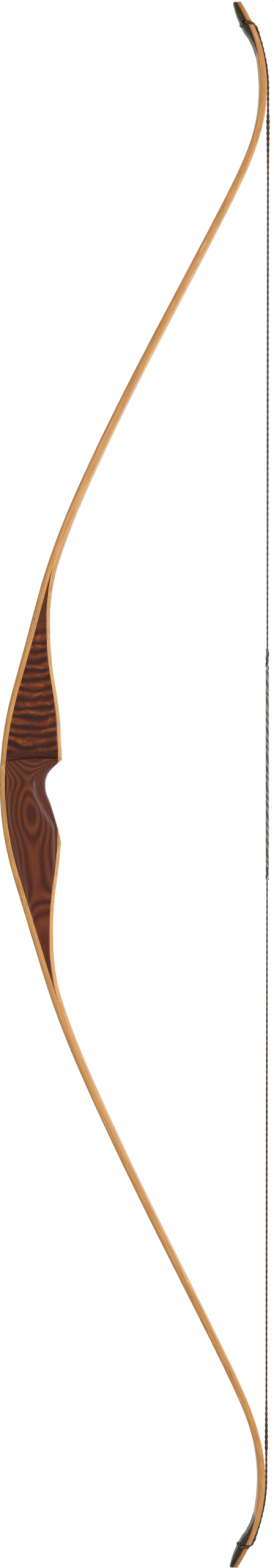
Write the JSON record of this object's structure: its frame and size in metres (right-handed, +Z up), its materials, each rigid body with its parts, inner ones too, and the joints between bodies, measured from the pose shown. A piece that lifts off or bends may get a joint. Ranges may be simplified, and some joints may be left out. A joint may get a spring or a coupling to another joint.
{
  "type": "recurve bow",
  "caption": "One-piece laminated wooden recurve bow, strung and at rest, with carved grip, arrow shelf, sight window, clear glass-faced limbs, dark tip overlays and a served string.",
  "frame": {"origin": "deepest point of the grip's throat, in the middle of the bow's width", "axes": "+Z up along the bow, +X from the back of the bow to the string, +Y away from the sight window"},
  "size_m": [0.2562, 0.043, 1.4799],
  "materials": {
    "riser_wood": "gloss varnish",
    "limb_wood": "satin under glass",
    "clear_glass": "clear glass-fibre laminate, polished",
    "horn": "polished edges",
    "dark_veneer": "gloss varnish",
    "string_fibre": "waxed",
    "serving_thread": "tight thread"
  },
  "bodies": {
    "riser": {"riser": "riser_wood", "back_glass_riser": "clear_glass", "back_core_riser_upper": "limb_wood", "belly_core_ramp_upper": "limb_wood", "belly_glass_ramp_upper": "clear_glass", "back_core_riser_lower": "limb_wood", "belly_core_ramp_lower": "limb_wood", "belly_glass_ramp_lower": "clear_glass"},
    "upper_limb": {"back_glass_upper": "clear_glass", "back_core_upper": "limb_wood", "belly_core_upper": "limb_wood", "belly_glass_upper": "clear_glass", "tip_veneer_upper": "dark_veneer", "tip_overlay_upper": "horn", "string_loop_upper": "string_fibre"},
    "lower_limb": {"back_glass_lower": "clear_glass", "back_core_lower": "limb_wood", "belly_core_lower": "limb_wood", "belly_glass_lower": "clear_glass", "tip_veneer_lower": "dark_veneer", "tip_overlay_lower": "horn", "string_loop_lower": "string_fibre"},
    "upper_string": {"string_upper": "string_fibre", "serving_upper": "serving_thread"},
    "lower_string": {"string_lower": "string_fibre", "serving_lower": "serving_thread"}
  },
  "joints": [
    {"name": "upper_limb_flex", "type": "hinge", "parent": "riser", "child": "upper_limb", "pos_m": [0.05486, 0, 0.31173], "axis": [0, 1, 0], "range_deg": [0, 21.4], "stiffness_Nm_per_rad": 110, "springref_deg": -23.2},
    {"name": "lower_limb_flex", "type": "hinge", "parent": "riser", "child": "lower_limb", "pos_m": [0.05926, 0, -0.31067], "axis": [0, 1, 0], "range_deg": [-21.8, 0], "stiffness_Nm_per_rad": 110, "springref_deg": 23.49},
    {"name": "upper_string_swing", "type": "hinge", "parent": "upper_limb", "child": "upper_string", "pos_m": [0.20217, 0, 0.70893], "axis": [0, 1, 0], "range_deg": [-48.5, 0], "deforming": ["string_upper", "serving_upper"]},
    {"name": "lower_string_swing", "type": "hinge", "parent": "lower_limb", "child": "lower_string", "pos_m": [0.19951, 0, -0.71046], "axis": [0, 1, 0], "range_deg": [0, 48.5], "deforming": ["string_lower", "serving_lower"]}
  ],
  "couplings": [
    {"joint": "lower_limb_flex", "follows": "upper_limb_flex", "ratio": -1.0168},
    {"joint": "upper_string_swing", "follows": "upper_limb_flex", "ratio": -2.262},
    {"joint": "lower_string_swing", "follows": "upper_limb_flex", "ratio": 2.262}
  ]
}
